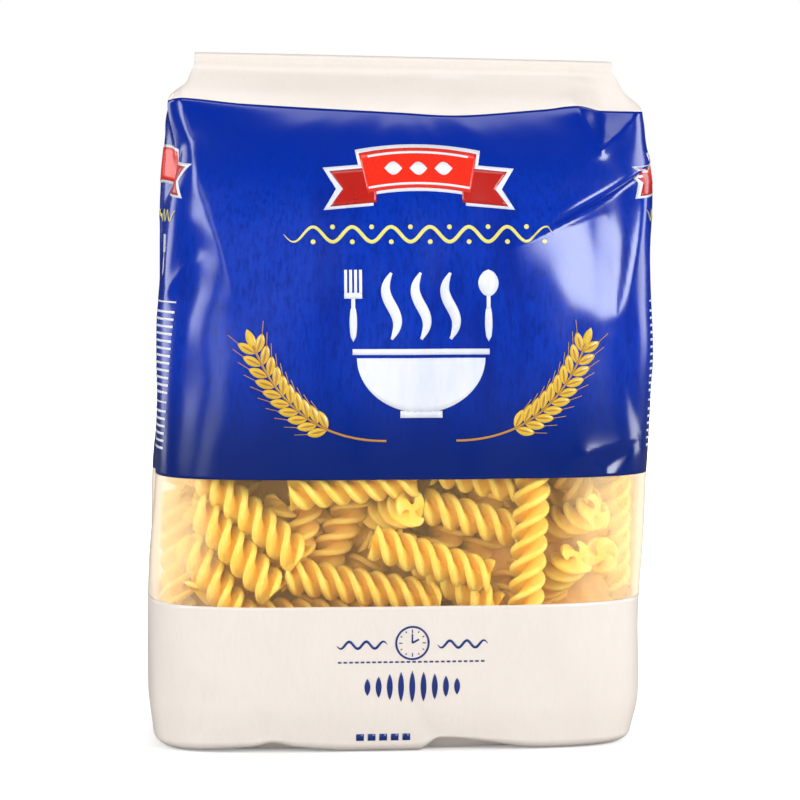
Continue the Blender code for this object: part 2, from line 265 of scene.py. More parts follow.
def relief(x, y, height, nx, ny):
    """How far the handled film stands off its plain section: creases, dimples, dents and waves."""
    total = np.zeros_like(height)
    share = {panel: on_panel(panel, nx, ny) for panel in range(4)}
    across = {FRONT: x, RIGHT: y, BACK: x, LEFT: y}
    for panel, *values in CREASES:
        total += share[panel] * crease(across[panel], height, *values)
    for panel, middle, reach, depth in DIMPLES:
        far = ((across[panel] - middle[0]) / reach[0]) ** 2 + ((height - middle[1]) / reach[1]) ** 2
        total -= share[panel] * depth * np.exp(-(far**DIMPLE_POWER))
    for panel, *values in FACETS:
        total += share[panel] * facet_dent(across[panel], height, *values)
    loose = smooth_step(*WAVES_FADE_LOW, height) * (1 - smooth_step(*WAVES_FADE_HIGH, height))
    around = np.arctan2(y, x) * WAVE_RADIUS
    for crest, wide, tall, start in WAVES:
        across_wave = np.sin(around / wide * WAVE_TURN + start)
        total += loose * crest * across_wave * np.sin(height / tall * WAVE_TURN + start)
    seam = smooth_step(SEAM_HALF_WIDTH + SEAM_EDGE, SEAM_HALF_WIDTH - SEAM_EDGE, np.abs(x - SEAM_MIDDLE))
    return total + share[BACK] * SEAM_HEIGHT * seam


def hem_lift(x, y, height):
    """Lift of the front hem: arches of the form h (1 - a)^2 (1 + 2a), which fade out higher up."""
    lift = np.zeros_like(x)
    for place, rise, left, right in HEM_ARCHES:
        away = np.abs(x - place) / np.where(x < place, left, right)
        lift += rise * np.clip(1 - away, 0, 1) ** 2 * (1 + 2 * away)
    return np.where(y < 0, lift, 0.0) * np.clip(1 - height / HEM_FADE, 0, 1) ** 2


def section(panel, share, width, depth, square, tuck):
    """The rounded rectangle |x / a|^n + |y / b|^n = 1, with its sides tucked in.

    A panel runs between the places where both terms are a half, so that one coordinate is even
    along it and the other is (1 - |c|^n)^(1/n). The tuck is tuck (1 - share^2).
    """
    along = share * 0.5 ** (1 / square)
    over = (1 - np.abs(along) ** square) ** (1 / square)
    facing = np.where(panel < 2, 1.0, -1.0)
    level = panel % 2 == 0
    x = facing * np.where(level, along * width, width * over - tuck * (1 - share**2))
    y = facing * np.where(level, -over * depth, along * depth)
    return x, y


def over_origin(x, y, z):
    """Points of the packet, moved so that its middle is over the origin."""
    return np.stack((x + CENTRE_SHIFT[0], y + CENTRE_SHIFT[1], z), axis=-1)


def film_point(panel, share, height, out=0.0, inset=0.0, plain=False):
    """Places on the film, from the panel, the share of the way across it (-1 to 1) and the height.

    A place of the section moves along the section's normal by the relief and by out.
    """
    panel, share, height, out = np.broadcast_arrays(panel, share, height, out)
    width, depth, square, tuck, drift = eased(STATIONS, height)
    width = width - inset
    depth = depth - inset
    x, y = section(panel, share, width, depth, square, tuck)
    nx = np.sign(x) * np.abs(x / width) ** (square - 1) / width
    ny = np.sign(y) * np.abs(y / depth) ** (square - 1) / depth
    size = np.hypot(nx, ny)
    nx, ny = nx / size, ny / size
    move = out if plain else out + relief(x, y, height, nx, ny)
    x = x + drift + nx * move
    y = y + ny * move
    slope = TOP_SLOPE * np.maximum(0.0, (height - SLOPE_START) / SLOPE_REACH)
    return over_origin(x, y, height + slope * x + hem_lift(x, y, height))


def film_columns():
    """Panel and share of each column round the packet: sin(c e) / sin(c) of even steps e."""
    panels, shares = [], []
    for panel, steps in enumerate(PANEL_COLUMNS):
        even = 2 * np.arange(steps) / steps - 1
        panels.append(np.full(steps, panel))
        shares.append(np.sin(CROWDING * even) / math.sin(CROWDING))
    return np.concatenate(panels), np.concatenate(shares)


PANELS, SHARES = film_columns()


def lay_on_film(panel, across, height, out):
    """The film's place at a plain coordinate: x on the front and back, y on the sides."""
    width, depth, square, _, drift = eased(STATIONS, height)
    level = panel % 2 == 0
    reach = (width if level else depth) * 0.5 ** (1 / square)
    facing = 1 if panel < 2 else -1
    share = facing * (across - (drift if level else 0.0)) / reach
    return film_point(panel, share, height, out)


def grid_faces(rows, columns, around=False, first=0):
    """Four-cornered faces between neighbours of a grid; around joins its last column to its first."""
    i = np.arange(rows - 1)[:, None]
    j = np.arange(columns if around else columns - 1)[None, :]
    k = (j + 1) % columns
    corners = (i * columns + j, i * columns + k, (i + 1) * columns + k, (i + 1) * columns + j)
    return np.stack(corners, axis=-1).reshape(-1, 4) + first


def add_object(name, data):
    made = bpy.data.objects.new(name, data)
    bpy.context.scene.collection.objects.link(made)
    return made


def make_piece(name, points, faces, finish, replaces, sharp=None, thickness=0.0):
    """A finished piece from points in millimetres: smooth, with its body, slot and CAD node."""
    mesh = bpy.data.meshes.new(name)
    mesh.from_pydata((points.reshape(-1, 3) * MM).tolist(), [], faces)
    mesh.shade_smooth()
    if sharp is not None:
        mesh.set_sharp_from_angle(angle=math.radians(sharp))
    mesh.materials.append(finish)
    piece = add_object(name, mesh)
    if thickness:
        wall = piece.modifiers.new("film", "SOLIDIFY")
        wall.thickness = thickness * MM
        wall.offset = -1
    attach(piece, "root")
    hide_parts(replaces)
    return piece


# Materials

# Unevenness of each kind: scale, where its mask starts and is full, and its stretch
INK_STREAKS = (60.0, 0.46, 0.72, (1.0, 1.0, 0.3))
INK_GRAIN = (1100.0, 0.40, 0.72, (1.0, 1.0, 0.25))
INK_HAZE = (35.0, 0.3, 0.7)
INK_GLOSS_SPREAD = 0.03
FOG_PATCHES = (70.0, 0.25, 0.6, (1.0, 1.0, 0.6))
PASTA_MOTTLING = (0.3, 0.72)
PASTA_GRAIN = (1600.0, 0.3, 0.7)

# Clear film: where its haze starts and is full, by the way it faces, and how thick it is there
HAZE_FACING = (0.22, 0.90)
HAZE = (0.035, 0.80)
# painted light: warm gold of the haze, standing in for light that the pasta scatters into it
FOG_PAINTED_GLOW = (1.0, 0.74, 0.38)
EDGE_COLOUR = (0.96, 0.90, 0.81)
FOG = ((33.0, 56.0, 0.38), (-46.0, -62.0, 0.42))  # from and to a place across, with the most there
SHADOW_SHARE = 0.12

# Pasta: painted shade deeper in the grooves, which turns paler towards the arms' ends, as a share of the
# spiral's radius, and a painted haze by its depth behind the film, in millimetres
ARM_PAINTED_SHADE = (0.35, 0.95)
PAINTED_HAZE_DEPTH = (6.0, 20.0)

# Painted shade of the blue film: the darker colours it turns to lower down and higher up, and the
# heights between which it turns to them
BLUE_PAINTED_SHADES = ((108.0, 72.0, (0.0002, 0.011, 0.125)), (134.0, 162.0, (0.0002, 0.017, 0.25)))


def new_material(name):
    """A new material, its node tree and its shader."""
    made = bpy.data.materials.new(name)
    made.use_nodes = True
    return made, made.node_tree, made.node_tree.nodes["Principled BSDF"]


def feed(tree, node, inputs):
    """Sets a node's inputs to values, or links them to other nodes' outputs."""
    for key, value in inputs.items():
        socket = node.inputs[key]
        if isinstance(value, bpy.types.NodeSocket):
            tree.links.new(value, socket)
        elif socket.type == "RGBA":
            socket.default_value = (*value, 1.0)
        else:
            socket.default_value = value


def add_node(tree, kind, inputs=None, **settings):
    """A node with its settings and inputs."""
    node = tree.nodes.new(kind)
    for key, value in settings.items():
        setattr(node, key, value)
    feed(tree, node, inputs or {})
    return node


def mapped(tree, value, start=0.0, full=1.0, low=0.0, high=1.0, smooth=True):
    """From low, where the value is at start, to high at full, by a smooth step or evenly."""
    inputs = {"Value": value, "From Min": start, "From Max": full, "To Min": low, "To Max": high}
    easing = "SMOOTHSTEP" if smooth else "LINEAR"
    return add_node(tree, "ShaderNodeMapRange", inputs, interpolation_type=easing).outputs["Result"]


def combined(tree, operation, first, second):
    """Two values combined by a Math node."""
    return add_node(tree, "ShaderNodeMath", {0: first, 1: second}, operation=operation).outputs[0]


def mixed(tree, factor, first, second):
    """A colour between two colours, each given as a value or an output."""
    inputs = {"Factor": factor, 6: first, 7: second}
    return add_node(tree, "ShaderNodeMix", inputs, data_type="RGBA").outputs[2]


def object_place(tree):
    """The three parts of the Object coordinates."""
    place = add_node(tree, "ShaderNodeTexCoord").outputs["Object"]
    return add_node(tree, "ShaderNodeSeparateXYZ", {0: place}).outputs


def uneven_group():
    """Shader group: soft noise on Object coordinates, stretched upwards, as a mask and a height."""
    group = bpy.data.node_groups.new("uneven", "ShaderNodeTree")
    for socket, kind, way in (
        ("Scale", "NodeSocketFloat", "INPUT"),
        ("Stretch", "NodeSocketVector", "INPUT"),
        ("Low", "NodeSocketFloat", "INPUT"),
        ("High", "NodeSocketFloat", "INPUT"),
        ("Mask", "NodeSocketFloat", "OUTPUT"),
        ("Height", "NodeSocketFloat", "OUTPUT"),
    ):
        group.interface.new_socket(name=socket, in_out=way, socket_type=kind)
    given = add_node(group, "NodeGroupInput").outputs
    stretched = add_node(group, "ShaderNodeVectorMath", {
        0: add_node(group, "ShaderNodeTexCoord").outputs["Object"], 1: given["Stretch"],
    }, operation="MULTIPLY")
    noise = add_node(group, "ShaderNodeTexNoise", {
        "Vector": stretched.outputs[0], "Scale": given["Scale"], "Detail": 6.0, "Roughness": 0.62,
    }).outputs["Fac"]
    mask = mapped(group, noise, given["Low"], given["High"])
    add_node(group, "NodeGroupOutput", {"Mask": mask, "Height": noise})
    return group


UNEVEN = uneven_group()


def uneven(tree, scale, low, high, stretch=(1.0, 1.0, 1.0)):
    """The uneven group's outputs in a material, with its own values."""
    inputs = {"Scale": scale, "Stretch": stretch, "Low": low, "High": high}
    return add_node(tree, "ShaderNodeGroup", inputs, node_tree=UNEVEN).outputs


def film_finish(name, colour, worn_colour, roughness, fine=0.97, painted_shades=()):
    """Printed film: the ink thins in upright streaks and is finely uneven, as is its gloss.

    In its grain a share, fine, of the colour is left. Each painted shade is a darker colour that it
    turns to between two heights, by a smooth step.
    """
    made, tree, shader = new_material(name)
    thin = tuple(fine * part for part in colour)
    body = mixed(tree, uneven(tree, *INK_GRAIN)["Mask"], colour, thin)
    body = mixed(tree, uneven(tree, *INK_STREAKS)["Mask"], body, worn_colour)
    # painted shade: the film turns darker between the heights given, not by its ink
    for start, full, painted_shade in painted_shades:
        body = mixed(tree, mapped(tree, object_place(tree)["Z"], start * MM, full * MM), body, painted_shade)
    low, high = roughness - INK_GLOSS_SPREAD, roughness + INK_GLOSS_SPREAD
    feed(tree, shader, {
        "Base Color": body,
        "Roughness": mapped(tree, uneven(tree, *INK_HAZE)["Mask"], low=low, high=high, smooth=False),
        "Specular IOR Level": 0.8,
        "Specular Tint": (0.86, 0.91, 1.0),
    })
    return made


def clear_finish():
    """Clear film: a faint haze, thicker along the line of sight and in patches near the ends.

    The haze holds back little light, because hazy film scatters it onwards.
    """
    made, tree, shader = new_material("clear film")
    facing = add_node(tree, "ShaderNodeLayerWeight", {"Blend": 0.50}).outputs["Facing"]
    haze = mapped(tree, facing, *HAZE_FACING, *HAZE)
    across = object_place(tree)["X"]
    patches = uneven(tree, *FOG_PATCHES)["Mask"]
    thick = haze
    for start, full, most in FOG:
        fog = mapped(tree, across, start * MM, full * MM, high=most)
        thick = combined(tree, "MAXIMUM", combined(tree, "MULTIPLY", fog, patches), thick)
    shadow = add_node(tree, "ShaderNodeLightPath").outputs["Is Shadow Ray"]
    passed = mapped(tree, shadow, low=1.0, high=SHADOW_SHARE, smooth=False)
    feed(tree, shader, {
        # painted light: warm gold where the film faces the eye, its own cream at a slant
        "Base Color": mixed(tree, haze, FOG_PAINTED_GLOW, EDGE_COLOUR),
        "Roughness": 0.16,
        "IOR": 1.45,
        "Alpha": combined(tree, "MULTIPLY", thick, passed),
    })
    return made


def pasta_finish(name, ridge, valley, dark, painted_haze, mottling):
    """Dry pasta: mottled gold, with painted shade in the grooves that turns paler at the arms' ends, and
    a painted haze that dulls it by its distance behind the film.
    """
    made, tree, shader = new_material(name)
    along_arm = add_node(tree, "ShaderNodeAttribute", attribute_name="along_arm").outputs["Fac"]
    behind = add_node(tree, "ShaderNodeAttribute", attribute_name="behind_film").outputs["Fac"]
    # painted shade: the valley colour deep in the grooves, paler towards the arms' ends
    body = mixed(tree, mapped(tree, along_arm, *ARM_PAINTED_SHADE), valley, ridge)
    body = mixed(tree, uneven(tree, mottling, *PASTA_MOTTLING)["Mask"], body, dark)
    grain = uneven(tree, *PASTA_GRAIN)["Height"]
    bump = add_node(tree, "ShaderNodeBump", {"Strength": 0.16, "Distance": 0.00015, "Height": grain})
    feed(tree, shader, {
        # painted haze: pasta farther behind the film turns to a duller colour, standing in for the
        # film's veil of scattered light
        "Base Color": mixed(tree, mapped(tree, behind, *PAINTED_HAZE_DEPTH), body, painted_haze),
        "Roughness": 0.45,
        "Specular IOR Level": 0.25,
        "Subsurface Weight": 0.55,
        "Subsurface Radius": (1.0, 0.50, 0.14),
        "Subsurface Scale": 0.0030,
        "Normal": bump.outputs["Normal"],
    })
    return made


blue_film = film_finish(
    "blue film", (0.0002, 0.027, 0.36), (0.0002, 0.012, 0.21), 0.20, 0.62, BLUE_PAINTED_SHADES
)
white_film = film_finish("white film", (0.672, 0.612, 0.558), (0.648, 0.588, 0.535), 0.34)
clear_film = clear_finish()
red_print = film_finish("red print", (0.68, 0.020, 0.006), (0.62, 0.018, 0.005), 0.28)
deep_red_print = film_finish("deep red print", (0.40, 0.010, 0.005), (0.34, 0.008, 0.004), 0.28)
white_print = film_finish("white print", (0.66, 0.68, 0.72), (0.52, 0.56, 0.66), 0.28)
yellow_print = film_finish("yellow print", (0.66, 0.62, 0.16), (0.58, 0.53, 0.12), 0.28)
gold_print = film_finish("gold print", (0.66, 0.43, 0.035), (0.56, 0.33, 0.025), 0.28)
brown_print = film_finish("brown print", (0.42, 0.20, 0.03), (0.34, 0.15, 0.02), 0.30)
navy_print = film_finish("navy print", (0.006, 0.024, 0.17), (0.005, 0.018, 0.12), 0.32)
pasta = pasta_finish(
    "durum pasta", (1.0, 0.735, 0.18), (1.0, 0.58, 0.060), (1.0, 0.62, 0.080),
    (0.94, 0.56, 0.14), 260.0,
)
# painted shade: the core and the pasta far in are coloured darker than the pasta at the front
core_pasta_painted_shade = pasta_finish(
    "pasta behind in painted shade", (0.80, 0.44, 0.10), (0.84, 0.47, 0.13), (0.50, 0.22, 0.045),
    (0.74, 0.40, 0.12), 95.0,
)


# The film


def film_rows(low, high, rows):
    """Rings of film between two heights or two lines of heights, in even steps."""
    step = np.linspace(0, 1, rows)[:, None]
    heights = low + step * (high - low)
    return film_point(PANELS, SHARES, heights + np.zeros((rows, len(PANELS))))


def blue_top_line():
    """The height at which the blue ends, for each column: the table's waves on the front."""
    level = film_point(PANELS, SHARES, np.full(len(PANELS), BLUE_TOP_MEAN), plain=True)
    return np.where(level[:, 1] < 0, eased(BLUE_TOP, level[:, 0])[0], BLUE_TOP_BEHIND)


def base_rows():
    """The folded base: rings that shrink to the middle of the underside, then round up its edge.

    The edge is a quarter of an ellipse, inset (1 - sqrt(1 - (1 - h / r)^2)). Underneath, the
    closing strip lies lowest, the folded ends above it and the first layer highest.
    """
    level = np.full(len(PANELS), BASE_ROUND)
    outline = film_point(PANELS, SHARES, level, inset=BASE_INSET, plain=True)
    shrink = np.concatenate(([0.02], np.linspace(0.08, 0.98, 34)))[:, None]
    x = outline[:, 0] * shrink
    y = outline[:, 1] * shrink
    closing = smooth_step(*STRIP_EDGE, np.abs(y - STRIP_MIDDLE))
    ends = smooth_step(*ENDS_EDGE, np.abs(x) - np.abs(y) * ENDS_WIDENING - ENDS_START)
    layers = np.maximum(closing * STRIP_LAYER, ends * ENDS_LAYER)
    under = np.stack((x, y, UNDER_HEIGHT - layers * smooth_step(1.0, 0.93, shrink)), axis=-1)
    rise = np.linspace(0.0, BASE_ROUND, 10)[:, None] + np.zeros(len(PANELS))
    inset = BASE_INSET * (1 - np.sqrt(1 - (1 - rise / BASE_ROUND) ** 2))
    edge = film_point(PANELS, SHARES, np.maximum(rise, 1e-3), inset=inset)
    edge[..., 2] = np.maximum(edge[..., 2], 0.0)
    return under, edge


def fold_path():
    """The middle line of the flat film, as (depth, height), with the way along each point.

    It turns over the top on an arc, runs down the back at a fixed distance from the body, and
    ends in the straight crimped seal.
    """
    turn = np.linspace(0, FOLD_TURN, 15)[:, None]
    centre = np.array((FOLD_RADIUS, FOLD_START))
    arc = centre + FOLD_RADIUS * np.concatenate((-np.cos(turn), np.sin(turn)), axis=1)
    marks = np.array(FLAP_HEIGHTS)
    table = np.stack((marks[::-1], eased(STATIONS, marks[::-1])[1] + FLAP_STAND_OFF), axis=1)
    heights = np.linspace(marks[0], marks[-1], 26)
    down = np.stack((eased(table, heights)[0], heights), axis=1)
    way = (down[-1] - down[-2]) / np.linalg.norm(down[-1] - down[-2])
    seal = down[-1] + way * np.linspace(0, CRIMP_LENGTH, CRIMP_ROWS)[1:, None]
    path = np.concatenate((arc, down, seal))
    along = np.gradient(path, axis=0)
    along[0] = (0.0, 1.0)
    return path, along / np.linalg.norm(along, axis=1, keepdims=True), len(arc) + len(down)


def fold_rows():
    """Flat tucked sections across the fold path, ribbed along the seal: rib sin(2 pi s / pitch)."""
    path, along, sealed = fold_path()
    x, q = section(PANELS, SHARES, FLAP_HALF_WIDTH, 1.0, FLAP_SQUARENESS, FLAP_TUCK)
    s = np.maximum(np.arange(len(path)) - sealed + 1, 0) * CRIMP_LENGTH / (CRIMP_ROWS - 1)
    thick = np.where(s > 0, CRIMP_HALF_THICKNESS, FLAP_HALF_THICKNESS)
    thick = thick * smooth_step(*CRIMP_END, CRIMP_LENGTH - s)
    rib = np.where(s > 0, CRIMP_RIB * np.sin(2 * math.pi * s / CRIMP_PITCH), 0.0)
    loose = smooth_step(*FLAP_LOOSE, path[:, 1])[:, None]
    lift = FLAP_WAVE * np.sin(x / FLAP_WAVE_REACH) * loose
    across = q * thick[:, None] + rib[:, None] + lift
    y = path[:, :1] + across * along[:, 1:]
    z = path[:, 1:] - across * along[:, :1] + TOP_SLOPE * (x + 1.0)
    return over_origin(x + STATIONS[-1, 5] + np.zeros_like(y), y, z)


def closed_ends(rows, columns, bottom, top, first=0):
    """The faces of a tube of rings, with a face over its first ring and over its last, if asked."""
    faces = grid_faces(rows, columns, True, first).tolist()
    if bottom:
        faces.append(list(range(first + columns - 1, first - 1, -1)))
    if top:
        faces.append(list(range(first + (rows - 1) * columns, first + rows * columns)))
    return faces


def build_film():
    """The four lengths of the film tube, of which the lowest and the highest are closed."""
    blue_top = blue_top_line()
    under, edge = base_rows()
    base = np.concatenate((under, edge, film_rows(BASE_ROUND, BAND_LOW, 46)[1:]))
    top = np.concatenate((film_rows(blue_top, STATIONS[-1, 0], 26), fold_rows()))
    for name, rings, bottom, lid, finish, slot in (
        ("white_base", base, True, False, white_film, "white_film"),
        ("clear_band", film_rows(BAND_LOW, BAND_HIGH, 46), False, False, clear_film, "clear_film"),
        ("blue_body", film_rows(BAND_HIGH, blue_top, 124), False, False, blue_film, "printed_film"),
        ("white_top", top, False, True, white_film, "white_film"),
    ):
        faces = closed_ends(len(rings), len(PANELS), bottom, lid)
        make_piece(name, rings, faces, finish, "bag", thickness=FILM_THICKNESS)


build_film()


# The print: simple shapes laid on the film

# Middles and heights of the front's parts, those of the white part last
PRINT_MIDDLE = 2.0
RIBBON_HEIGHT = 149.4
RIBBON_SIZE = 0.92
WAVE_HEIGHT = 133.8
WAVE_SWING = 1.9
BOWL_RIM = 102.2
EAR_REACHES = (9.0, 34.0, 43.5)  # of the root, the bend and the tip
EAR_HEIGHTS = (81.0, 107.0)
LOWER_MIDDLE = -0.3
DIAL_HEIGHT = 28.8
LOWER_WAVE_HEIGHT = 28.4
DASHES_HEIGHT = 23.9
STROKES_HEIGHT = 17.4
STROKE_LENGTHS = (8.4, 7.8, 6.8, 5.6, 4.4)  # from the middle one outwards
SQUARES_HEIGHT = 4.1
SQUARES_LEFT = -14.7

# The sides and the back
SIDE_RIBBON_HEIGHT = 150.4
SIDE_RIBBON_SIZE = 0.74
SIDE_WAVE_HEIGHT = 138.4
SIDE_CUTLERY_FOOT = 122.5
SIDE_LEFT = -20.0
BACK_LEFTS = (-50.0, 10.0)
BACK_EAR_REACHES = (24.0, 40.0, 46.0)
BACK_EAR_HEIGHTS = (74.0, 98.0)
RULE_LENGTH = 40.0
# Blocks of bars, as ruled_bars takes them
SIDE_BLOCKS = ((116.0, 0.22, 2.6, 22, 40, 12), (90.0, 0.22, 2.4, 16, 26, 6))
BACK_BLOCKS = ((144.0, 0.6, 3.6, 26, 40, 16), (103.4, 0.22, 2.8, 14, 24, 7))


def places(x, z):
    """Places in the plane from their coordinates across and up."""
    return np.stack(np.broadcast_arrays(x, z), axis=-1)


def strip(path, half_width, steps=3):
    """A band along a path in the plane: path + s * half width * side, for s from 1 to -1.

    The side is the path's direction turned a quarter turn to the left.
    """
    way = np.gradient(path, axis=0)
    side = places(-way[:, 1], way[:, 0])
    side = side / np.linalg.norm(side, axis=1, keepdims=True)
    s = np.linspace(1, -1, steps)
    wide = np.broadcast_to(half_width, len(path))
    return path[:, None] + side[:, None] * (wide[:, None] * s)[..., None]


def between(start, end, t):
    """Places at the shares t of the way from start to end."""
    return np.array(start) * (1 - t[:, None]) + np.array(end) * t[:, None]


def line(start, end, half_width, steps=2):
    """A straight strip from start to end."""
    return strip(between(start, end, np.linspace(0, 1, steps)), half_width)


def level_line(left, right, height, half_width, steps=2):
    """A straight strip between two places at one height."""
    return line((left, height), (right, height), half_width, steps)


def leaf(start, end, half_width, blunt=0.75, steps=9):
    """A strip that swells and closes again: half width * sin(pi t)^blunt."""
    t = np.linspace(0, 1, steps)
    swelling = np.maximum(np.sin(math.pi * t), 0.0) ** blunt
    return strip(between(start, end, t), half_width * swelling + 0.01)


def disc(middle, radius, steps=15):
    """A round spot: a level strip of half width sqrt(r^2 - u^2)."""
    u = radius * np.sin(np.linspace(-1, 1, steps) * math.pi / 2)
    return strip(places(middle[0] + u, middle[1]), np.sqrt(np.maximum(radius**2 - u**2, 1e-4)), 5)


def ring(middle, radius, half_width, steps=49):
    """A strip along a circle."""
    turn = np.linspace(0, -2 * math.pi, steps)[:, None]
    circle = np.concatenate((np.cos(turn), np.sin(turn)), axis=1)
    return strip(np.array(middle) + radius * circle, half_width)


def ribbon(middle, size, margin=0.0):
    """A festive ribbon: a gently arched band, z = rise (1 - u^2), and two notched tails behind it."""
    cx, cz = middle
    half, tall, tail = 15.5 * size + margin, 5.6 * size + margin, 9.5 * size
    u = np.linspace(-1, 1, 41)
    arch = cz + 1.6 * size * (1 - u**2)
    body = strip(places(cx + half * u, arch), tall, 7)
    tails = []
    for side in (-1, 1):
        t = np.linspace(0, 1, 14)[:, None]
        s = np.linspace(1, -1, 9) if side > 0 else np.linspace(-1, 1, 9)
        reach = (tail + margin) - 3.6 * size * (1 - np.abs(s))
        x = cx + side * (half - 3.5 * size + (reach + 3.5 * size) * t)
        z = cz - 3.2 * size - 1.2 * size * t + (tall - 0.7 * size) * s
        tails.append(places(x, z))
    return body, tails


def scroll(middle, length, swing, pitch, half_width, steps=181):
    """A running wave: swing * sin(2 pi u / pitch), thinning to its ends."""
    u = np.linspace(-length / 2, length / 2, steps)
    path = places(middle[0] + u, middle[1] + swing * np.sin(2 * math.pi * u / pitch))
    return strip(path, half_width * (1 - (2 * u / length) ** 6) + 0.05)


def steam(foot, tall, swing, half_width):
    """An upright wave, swing * sin(2 pi t) to the side, that swells and closes again."""
    t = np.linspace(0, 1, 25)
    path = places(foot[0] + swing * np.sin(2 * math.pi * t), foot[1] + tall * t)
    return strip(path, half_width * np.sin(math.pi * np.clip(t, 0.02, 0.98)) ** 0.5)


def bowl(rim, half, deep):
    """A filled bowl between its rim and half an ellipse: a level strip of half its depth there."""
    u = np.sin(np.linspace(-1, 1, 41) * math.pi / 2)
    depth = deep * np.sqrt(np.maximum(1 - u**2, 1e-4))
    s = np.linspace(1, -1, 9)
    z = (rim[1] - depth / 2)[:, None] + (depth / 2)[:, None] * s
    return places((rim[0] + half * u)[:, None], z)


def handle(foot, tall, end):
    """A handle and the thin neck over it, up to a share of the height."""
    x, z = foot
    grip = leaf((x, z), (x, z + 0.52 * tall), 0.95, 0.4)
    return [grip, line((x, z + 0.45 * tall), (x, z + end * tall), 0.5, 6)]


def fork(foot, tall):
    """A fork: handle, neck, shoulder and four tines."""
    x, z = foot
    parts = handle(foot, tall, 0.62)
    parts.append(level_line(x - 2.3, x + 2.3, z + 0.64 * tall, 0.75, 6))
    for k in (-1.5, -0.5, 0.5, 1.5):
        parts.append(line((x + 1.27 * k, z + 0.66 * tall), (x + 1.27 * k, z + tall), 0.38, 8))
    return parts


def spoon(foot, tall):
    """A spoon: handle, neck and oval."""
    x, z = foot
    return [*handle(foot, tall, 0.66), leaf((x, z + 0.62 * tall), (x, z + tall), 2.6, 0.55, 17)]


def wheat_ear(root, bend, tip, kernels, size):
    """A bearded ear on a bent stalk, (1-t)^2 root + 2t(1-t) bend + t^2 tip, kernels in pairs."""
    def stalk(t):
        t = np.asarray(t, float)[..., None]
        return (1 - t) ** 2 * np.array(root) + 2 * t * (1 - t) * np.array(bend) + t**2 * np.array(tip)

    gold, brown = [], [strip(stalk(np.linspace(0, 0.97, 40)), 0.28)]
    for t in np.linspace(0.34, 0.93, kernels):
        here, ahead = stalk(t), stalk(t + 0.04)
        way = (ahead - here) / np.linalg.norm(ahead - here)
        side = np.array((-way[1], way[0]))
        for turn in (-1, 1):
            out = 0.80 * way + 0.60 * turn * side
            start = here + 0.35 * turn * side
            gold.append(leaf(start, start + 5.6 * size * out, 1.25 * size))
            brown.append(leaf(start + 0.25 * size * way, start + 4.4 * size * out, 0.30 * size))
            awn = start + 8.2 * size * (out + 0.12 * way)
            brown.append(line(start + 5.0 * size * out, awn, 0.09, 4))
    end = stalk(0.95)
    way = (stalk(1.0) - end) / np.linalg.norm(stalk(1.0) - end)
    gold.append(leaf(end, end + 6.0 * size * way, 1.25 * size))
    return gold, brown


def dial(middle, radius):
    """A clock dial: rim, twelve marks and two hands."""
    x, z = middle
    centre = np.array(middle)
    parts = [ring(middle, radius, 0.26)]
    for k in range(12):
        way = np.array((math.cos(k * math.pi / 6), math.sin(k * math.pi / 6)))
        inner = 0.72 if k % 3 else 0.62
        parts.append(line(centre + inner * radius * way, centre + 0.84 * radius * way, 0.12))
    parts.append(line((x, z), (x, z + 0.55 * radius), 0.2))
    parts.append(line((x, z), (x + 0.40 * radius, z + 0.22 * radius), 0.24))
    return parts


def dashes(middle, length, count, half_width):
    """A level row of short strokes."""
    pitch = length / count
    starts = middle[0] - length / 2 + pitch * np.arange(count)
    return [level_line(x, x + 0.62 * pitch, middle[1], half_width) for x in starts]


def bars(left, top, lengths, pitch, half_width):
    """Plain level bars under each other, as small print looks from afar."""
    rows = []
    for k, length in enumerate(lengths):
        steps = max(2, int(length / 2))
        rows.append(level_line(left, left + length, top - pitch * k, half_width, steps))
    return rows


def ruled_bars(draw, left, blocks, pitch, half_width):
    """Blocks of bars of drawn lengths, each under a level rule.

    A block has the rule's height and half width, the gap under it, and the bars' least and
    greatest length and number.
    """
    rows = []
    for height, rule, gap, least, greatest, count in blocks:
        rows.append(level_line(left, left + RULE_LENGTH, height, rule, 21))
        rows += bars(left, height - gap, draw.uniform(least, greatest, count), pitch, half_width)
    return rows


def ribbon_inks(middle, size, margin):
    """A ribbon on its wider white one, as {ink: shapes}."""
    rim, rim_tails = ribbon(middle, size, margin)
    body, tails = ribbon(middle, size)
    return {"deep_red": tails, "red": [body], "white": [rim, *rim_tails]}


def ribbon_lines(middle, height):
    """Two lines along the ribbon's arch and three lozenges between them."""
    lines = []
    u = np.linspace(-13.0, 13.0, 31)
    for s in (-4.0, 4.0):
        arch = height + 1.47 * (1 - (u / 14.3) ** 2) + s
        lines.append(strip(places(middle + u, arch), 0.28))
    for k in (-1, 0, 1):
        x = middle + 6.5 * k
        lines.append(leaf((x - 2.3, height + 1.3), (x + 2.3, height + 1.3), 1.7, 1.0))
    return lines


def dotted_wave(middle, height):
    """A running wave with a dot in each of its bends."""
    wave = [scroll((middle, height), 70.0, WAVE_SWING, 10.0, 0.42)]
    for k in range(-6, 7):
        swing = WAVE_SWING if k % 2 else -WAVE_SWING
        wave.append(disc((middle + 5.0 * k + 2.5, height + swing), 0.62, 9))
    return wave


def steaming_bowl(middle, rim):
    """A bowl with its foot, its lip and three wisps of steam, between a fork and a spoon."""
    dish = [bowl((middle, rim), 16.5, 14.0)]
    dish.append(level_line(middle - 5.4, middle + 5.4, rim - 14.4, 0.9, 9))
    dish.append(level_line(middle - 17.6, middle + 17.6, rim + 1.6, 0.75, 21))
    dish += [steam((middle + k, rim + 4.8), 17.0, 1.5, 1.35) for k in (-7.6, 0.0, 7.6)]
    return dish + fork((middle - 17.4, rim + 4.2), 18.4) + spoon((middle + 17.4, rim + 4.2), 18.4)


